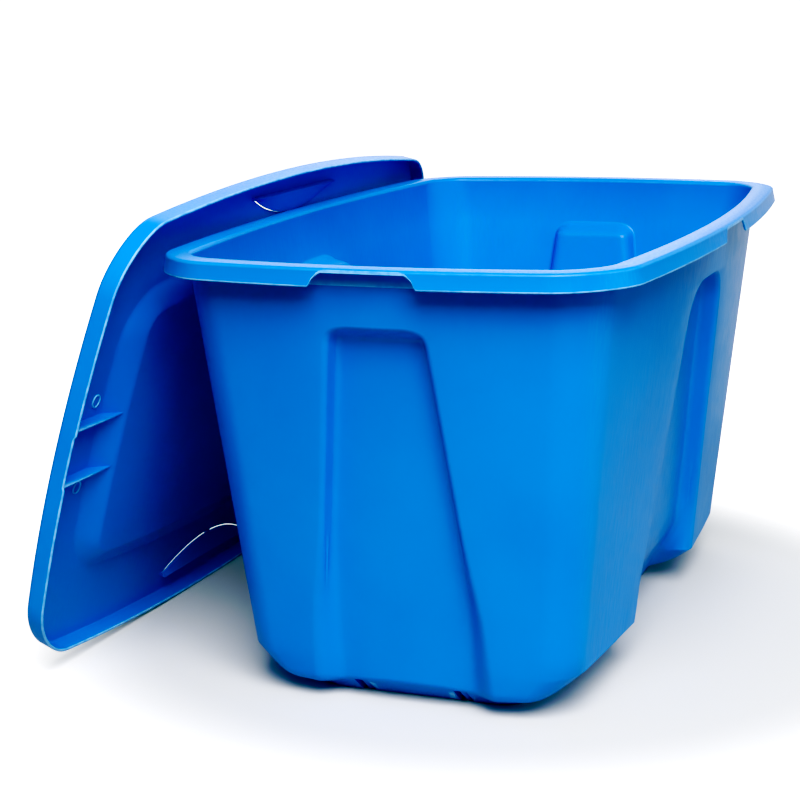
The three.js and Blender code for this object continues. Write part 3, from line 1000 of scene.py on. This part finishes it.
def blend_colour(tree, share, first, second):
    """The first colour turning into the second; each is a socket or a plain colour."""
    blend = tree.nodes.new("ShaderNodeMix")
    blend.data_type = "RGBA"
    tree.links.new(share, blend.inputs["Factor"])
    for socket, value in ((blend.inputs["A"], first), (blend.inputs["B"], second)):
        if isinstance(value, tuple):
            socket.default_value = (*value, 1)
        else:
            tree.links.new(value, socket)
    return blend.outputs["Result"]


def outwards_node(tree, texture):
    """Distance from the middle plane in metres, times how much the surface faces away from it.

    It is largest on the outside of the long sides, and below 0 on their inside.
    """
    place = tree.nodes.new("ShaderNodeSeparateXYZ")
    tree.links.new(texture.outputs["Object"], place.inputs[0])
    facing = tree.nodes.new("ShaderNodeSeparateXYZ")
    tree.links.new(texture.outputs["Normal"], facing.inputs[0])
    return math_node(tree, "MULTIPLY", place.outputs["X"], facing.outputs["X"])


def plastic(name):
    """Moulded blue plastic: cloudy colour, upright streaks in roughness and bump with painted sheen
    along them, a fine grain, and painted highlights on sharp edges.
    """
    material = bpy.data.materials.new(name)
    material.use_nodes = True
    tree = material.node_tree
    shader = tree.nodes["Principled BSDF"]
    texture = tree.nodes.new("ShaderNodeTexCoord")
    coords = texture.outputs["Object"]

    clouds = noise_node(tree, coords, *CLOUDS)
    streaks = noise_node(tree, coords, *STREAKS)
    blotches = noise_node(tree, coords, *BLOTCHES)
    grain = noise_node(tree, coords, *GRAIN)

    body = blend_colour(tree, ramp_node(tree, clouds, *CLOUDS_SHOWN), BLUE_DEEP, BLUE_CLEAR)
    # Painted sheen: paler streaks, mostly on the outside of the long sides.
    share = ramp_node(tree, outwards_node(tree, texture), *SHEEN_BY_PLACE)
    painted_sheen = math_node(tree, "MULTIPLY", ramp_node(tree, streaks, *SHEEN_STREAKS_SHOWN), share)
    body = blend_colour(tree, painted_sheen, body, BLUE_PAINTED_SHEEN)

    # Painted highlight: paler blue on sharp convex edges, broken up by blotches.
    curve = tree.nodes.new("ShaderNodeAttribute")
    curve.attribute_name = CURVE_NAME
    edge = ramp_node(tree, curve.outputs["Fac"], *HIGHLIGHT_BY_CURVE)
    edge_highlight = math_node(tree, "MULTIPLY", edge, ramp_node(tree, blotches, *HIGHLIGHT_BY_BLOTCH))
    body = blend_colour(tree, edge_highlight, body, BLUE_EDGE_HIGHLIGHT)
    tree.links.new(body, shader.inputs["Base Color"])

    rough = ramp_node(tree, streaks, *STREAKS_ROUGHNESS)
    rough = math_node(tree, "ADD", rough, math_node(tree, "MULTIPLY", edge_highlight, EDGE_HIGHLIGHT_ROUGHNESS))
    tree.links.new(rough, shader.inputs["Roughness"])
    shader.inputs["Specular IOR Level"].default_value = SPECULAR

    relief = math_node(tree, "ADD", math_node(tree, "MULTIPLY", grain, GRAIN_IN_BUMP), streaks)
    bump = tree.nodes.new("ShaderNodeBump")
    bump.inputs["Strength"].default_value = BUMP_STRENGTH
    bump.inputs["Distance"].default_value = BUMP_DEPTH
    tree.links.new(relief, bump.inputs["Height"])
    tree.links.new(bump.outputs["Normal"], shader.inputs["Normal"])
    return material


# ---- Studio ------------------------------------------------------------------------------------


def pale(name, shade):
    """A plain dull grey of a shade."""
    material = bpy.data.materials.new(name)
    material.use_nodes = True
    shader = material.node_tree.nodes["Principled BSDF"]
    shader.inputs["Base Color"].default_value = (shade, shade, shade, 1)
    shader.inputs["Roughness"].default_value = PALE_ROUGHNESS
    shader.inputs["Specular IOR Level"].default_value = PALE_SPECULAR
    return material


def build_floor():
    """A pale floor with a round wall far off, which glow white further from the tote.

    It catches shadows, but throws no light back: a smaller, darker board under it does that.
    """
    around = [math.tau * i / COVE_SIDES for i in range(COVE_SIDES)]
    edge = [(math.cos(a) * COVE_RADIUS, math.sin(a) * COVE_RADIUS) for a in around]
    vertices = [(x, y, z) for z in (0, COVE_RADIUS) for x, y in edge]
    wall = []
    for i in range(COVE_SIDES):
        after = (i + 1) % COVE_SIDES
        wall.append((i, after, COVE_SIDES + after, COVE_SIDES + i))
    floor = mesh_object("floor", vertices, [tuple(range(COVE_SIDES))] + wall)
    material = pale("pale_floor", FLOOR_SHADE)
    tree = material.node_tree
    shader = tree.nodes["Principled BSDF"]
    shader.inputs["Emission Color"].default_value = (1, 1, 1, 1)
    coords = tree.nodes.new("ShaderNodeTexCoord")
    reach = tree.nodes.new("ShaderNodeVectorMath")
    reach.operation = "LENGTH"
    tree.links.new(coords.outputs["Object"], reach.inputs[0])
    glow = ramp_node(tree, reach.outputs["Value"], *FLOOR_GLOW)
    tree.links.new(glow, shader.inputs["Emission Strength"])
    floor.data.materials.append(material)
    floor.visible_diffuse = False
    floor.visible_glossy = False
    floor.visible_shadow = False


def build_bounce_board():
    """A board that the camera doesn't see, which throws light up at the tote."""
    half = BOUNCE_HALF
    turns = ((-half, -half), (half, -half), (half, half), (-half, half))
    corners = [(x, y, -BOUNCE_BELOW) for x, y in turns]
    board = mesh_object("bounce_board", corners, [(0, 1, 2, 3)])
    board.data.materials.append(pale("bounce_board", BOUNCE_SHADE))
    board.visible_camera = False


def area_light(name, target, azimuth, elevation, distance, size, power):
    """A square softbox aimed at a target; azimuth is counted from -Y towards +X, in degrees."""
    light = bpy.data.lights.new(name, "AREA")
    light.shape = "SQUARE"
    light.size = size
    light.energy = power
    lamp = bpy.data.objects.new(name, light)
    turn = Matrix.Rotation(math.radians(azimuth), 4, "Z")
    tilt = Matrix.Rotation(math.radians(90 - elevation), 4, "X")
    lamp.matrix_world = Matrix.Translation(target) @ turn @ tilt @ Matrix.Translation((0, 0, distance))
    bpy.context.scene.collection.objects.link(lamp)


def build_world():
    """A soft room: brightest low down behind the tote, dim overhead and darker below."""
    world = bpy.data.worlds.new("studio")
    world.use_nodes = True
    tree = world.node_tree
    coords = tree.nodes.new("ShaderNodeTexCoord")
    split = tree.nodes.new("ShaderNodeSeparateXYZ")
    tree.links.new(coords.outputs["Generated"], split.inputs[0])
    overhead = ramp_node(tree, split.outputs["Z"], *WORLD_OVERHEAD)
    facing = tree.nodes.new("ShaderNodeVectorMath")
    facing.operation = "DOT_PRODUCT"
    facing.inputs[1].default_value = Vector(WORLD_BACK_WAY).normalized()
    tree.links.new(coords.outputs["Generated"], facing.inputs[0])
    back = ramp_node(tree, facing.outputs["Value"], *WORLD_BACK)
    background = tree.nodes["Background"]
    tree.links.new(math_node(tree, "ADD", overhead, back), background.inputs["Strength"])
    background.inputs["Color"].default_value = (1, 1, 1, 1)
    bpy.context.scene.world = world


def build_camera():
    data = bpy.data.cameras.new("camera")
    data.lens = CAMERA_LENS
    data.sensor_width = CAMERA_SENSOR
    camera = bpy.data.objects.new("camera", data)
    turn = Matrix.Rotation(CAMERA_YAW, 4, "Z") @ Matrix.Rotation(math.pi / 2 - CAMERA_PITCH, 4, "X")
    camera.matrix_world = Matrix.Translation(CAMERA_PLACE) @ turn @ Matrix.Rotation(CAMERA_ROLL, 4, "Z")
    bpy.context.scene.collection.objects.link(camera)
    bpy.context.scene.camera = camera


def grade():
    """Shows the light as a camera does: firm shadows, soft highlights and no haze in the red."""
    view = bpy.context.scene.view_settings
    view.view_transform = "Standard"
    view.use_curve_mapping = True
    mapping = view.curve_mapping
    mapping.black_level = (RED_BLACK, 0, 0)
    mapping.white_level = (TONE_WHITE, TONE_WHITE, TONE_WHITE)
    tone = mapping.curves[TONE_OF_ALL]
    for light, shown in TONE_CURVE:
        tone.points.new(light / TONE_WHITE, shown)
    mapping.update()


build_camera()
build_floor()
build_bounce_board()
build_world()
for light_name, settings in LIGHTS.items():
    area_light(light_name, **settings)
grade()

tub_piece = build_tub()
lid_piece = build_lid()
for piece, node in ((tub_piece, "tub"), (lid_piece, "lid")):
    piece.data.materials.append(plastic(node + "_plastic"))
    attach(piece, node)
    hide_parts(node)
